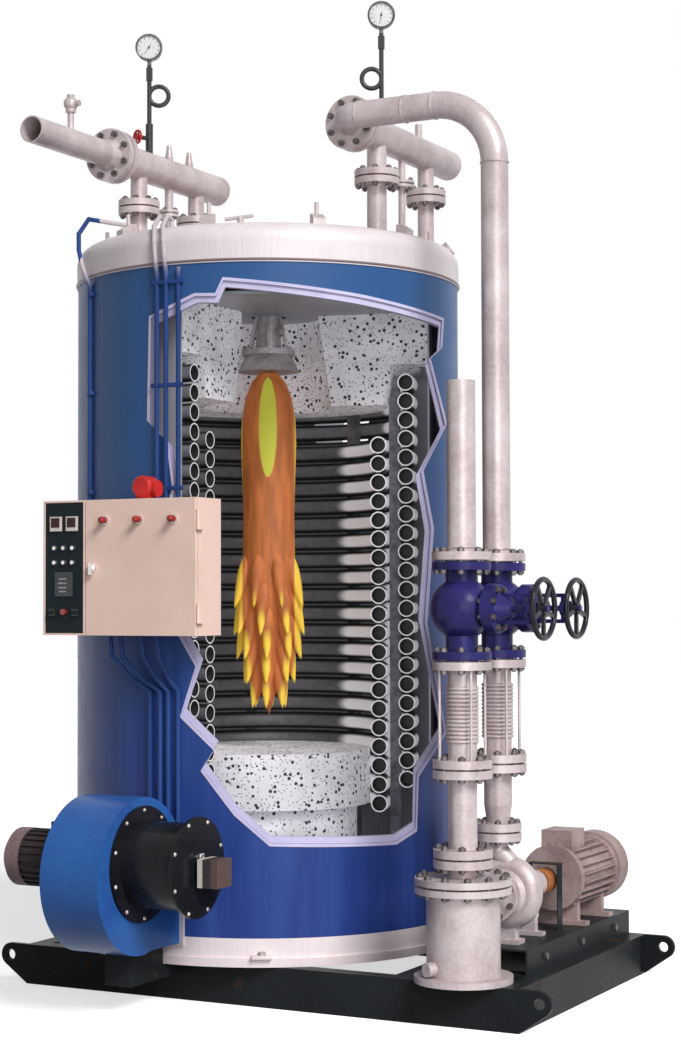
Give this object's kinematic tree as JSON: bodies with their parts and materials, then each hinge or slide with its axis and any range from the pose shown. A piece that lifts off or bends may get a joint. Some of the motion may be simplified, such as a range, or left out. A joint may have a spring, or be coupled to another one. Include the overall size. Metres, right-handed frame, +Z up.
{
  "type": "thermal oil heater",
  "caption": "Upright fired thermal oil heater, cut open to show its coils and flame, on a lifting skid with pump set, blower, pipework and control cabinet.",
  "frame": {"origin": "on the vessel's axis at floor level, under the middle cross beam", "axes": "+Z up, -Y towards the control cabinet and blower, +X towards the pump set"},
  "size_m": [2.5838, 2.508, 4.342],
  "materials": {
    "skid_black": "semi gloss black paint",
    "casing_blue": "gloss blue paint",
    "casing_lining": "pale lining board, cut edge",
    "cladding": "satin sheet",
    "jacket_steel": "mill finish",
    "coil_steel": "drawn tube, cut ends bright",
    "refractory": "cast refractory with dark grit",
    "burner_iron": "heat stained",
    "flame": "moulded display flame",
    "pipe_silver": "silver heat resisting paint",
    "valve_blue": "gloss dark blue paint",
    "wheel_black": "gloss black paint",
    "gauge": "steel case, dark siphon",
    "red_plastic": "moulded",
    "motor_grey": "grey paint",
    "motor_brown": "dull grey brown paint",
    "coupling_orange": "paint",
    "blower_blue": "gloss blue paint",
    "intake_black": "gloss black paint",
    "actuator_grey": "satin",
    "cabinet_beige": "powder coat",
    "panel_dark": "dark instrument panel",
    "controls": "meters, lamps and switches",
    "lock_metal": "polished",
    "conduit_blue": "blue paint"
  },
  "bodies": {
    "heater": {"front_beam": "skid_black", "rear_beam": "skid_black", "cross_beams": "skid_black", "pump_plinth": "skid_black", "base_drum": "cladding", "casing_shell": "casing_blue", "casing_lining": "casing_lining", "inner_jacket": "jacket_steel", "outer_coil": "coil_steel", "inner_coil": "coil_steel", "coil_supports": "jacket_steel", "chamber_floor": "refractory", "burner_block": "refractory", "inner_lid": "jacket_steel", "burner_head": "burner_iron", "display_flame": "flame", "top_cap": "cladding", "burner_cover": "cladding", "lid_clamps": "pipe_silver", "flue_spigot": "jacket_steel", "outlet_header": "pipe_silver", "outlet_risers": "pipe_silver", "outlet_pipe": "pipe_silver", "thermowell": "pipe_silver", "outlet_gauge": "gauge", "inlet_header": "pipe_silver", "inlet_risers": "pipe_silver", "inlet_gauge": "gauge", "feed_pipe": "pipe_silver", "return_pipe": "pipe_silver", "feed_valve": "valve_blue", "return_valve": "valve_blue", "feed_bellows": "pipe_silver", "return_bellows": "pipe_silver", "feed_spool": "pipe_silver", "return_spool": "pipe_silver", "filter_lid": "pipe_silver", "filter_pot": "pipe_silver", "pump_casing": "pipe_silver", "pump_bearing": "pipe_silver", "coupling_guard": "skid_black", "pump_motor": "motor_grey", "blower_scroll": "blower_blue", "blower_motor": "motor_brown", "intake_tube": "intake_black", "damper_actuator": "actuator_grey", "blower_bracket": "skid_black", "cabinet_body": "cabinet_beige", "instrument_panel": "panel_dark", "panel_controls": "controls", "alarm_horn": "red_plastic", "conduits": "conduit_blue"},
    "door": {"cabinet_door": "cabinet_beige", "door_lock": "lock_metal"},
    "feed_wheel": {"feed_handwheel": "wheel_black"},
    "return_wheel": {"return_handwheel": "wheel_black"},
    "gauge_wheel": {"gauge_valve_wheel": "red_plastic"},
    "coupling": {"pump_coupling": "coupling_orange"}
  },
  "joints": [
    {"name": "door_hinge", "type": "hinge", "parent": "heater", "child": "door", "pos_m": [0.287, -1.0755, 1.8], "axis": [0, 0, 1], "range_deg": [0, 110]},
    {"name": "feed_wheel_turn", "type": "hinge", "parent": "heater", "child": "feed_wheel", "pos_m": [1.602, -0.32, 1.62836], "axis": [1, 0, 0], "range_deg": [0, 3060]},
    {"name": "return_wheel_turn", "type": "hinge", "parent": "heater", "child": "return_wheel", "pos_m": [1.602, -0.67, 1.62836], "axis": [1, 0, 0], "range_deg": [0, 3060]},
    {"name": "gauge_wheel_turn", "type": "hinge", "parent": "heater", "child": "gauge_wheel", "pos_m": [-0.52466, -0.28214, 3.776], "axis": [-0.3795, -0.9252, 0], "range_deg": [0, 1260]},
    {"name": "coupling_spin", "type": "hinge", "parent": "heater", "child": "coupling", "pos_m": [1.297, 0.05, 0.475], "axis": [0, 1, 0], "continuous": true}
  ]
}
